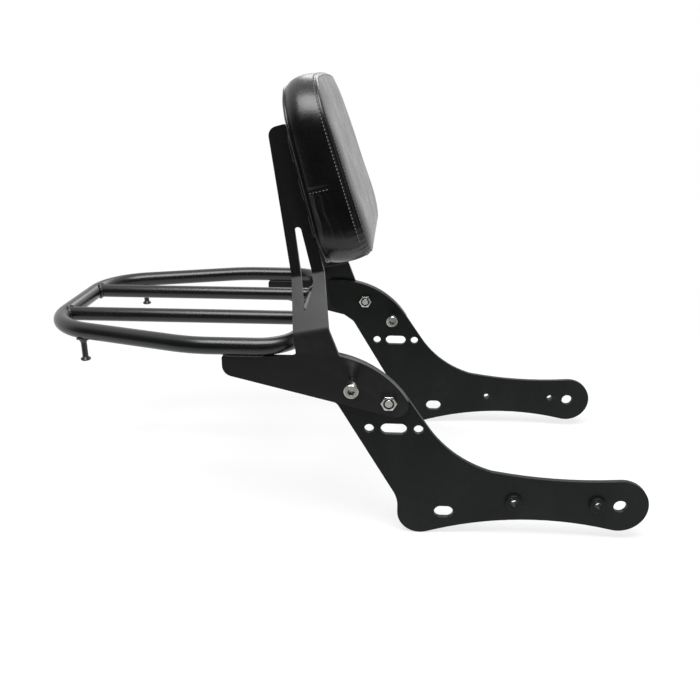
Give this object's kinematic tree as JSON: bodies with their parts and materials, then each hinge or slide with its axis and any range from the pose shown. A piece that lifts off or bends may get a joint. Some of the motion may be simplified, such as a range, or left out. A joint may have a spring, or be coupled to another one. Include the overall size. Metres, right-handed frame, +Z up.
{
  "type": "motorcycle_backrest",
  "caption": "Passenger backrest with a luggage rack for a cruiser motorcycle: two side plates, bent brackets, tubular rack and a padded backrest.",
  "frame": {"origin": "on the axis of the two front eyes, midway between the side plates", "axes": "+X towards the front of the motorcycle, +Y towards its left side and along the axis of the two eyes, +Z up"},
  "size_m": [0.5881, 0.3182, 0.4202],
  "materials": {
    "powder_coat": "satin black powder coat",
    "rack_coat": "satin black powder coat on tube",
    "stainless": "bright stainless steel",
    "black_zinc": "black zinc",
    "yellow_zinc": "yellow zinc",
    "plywood": "raw plywood",
    "cover": "glossy black leatherette"
  },
  "bodies": {
    "root": {"side_plate_right": "powder_coat", "side_plate_left": "powder_coat", "boss_front_right": "powder_coat", "boss_rear_right": "powder_coat", "boss_front_left": "powder_coat", "boss_rear_left": "powder_coat", "bracket_right": "powder_coat", "bracket_left": "powder_coat", "rear_screws": "stainless", "front_screws": "stainless", "hex_nuts": "stainless", "rack_loop": "rack_coat", "rack_bar_right": "rack_coat", "rack_bar_left": "rack_coat", "lash_peg_right": "rack_coat", "lash_peg_left": "rack_coat", "backrest_plate": "powder_coat", "pad_screws": "black_zinc", "pad_washers": "black_zinc", "tee_nuts": "yellow_zinc", "pad_board": "plywood", "pad_cushion": "cover"}
  },
  "joints": []
}
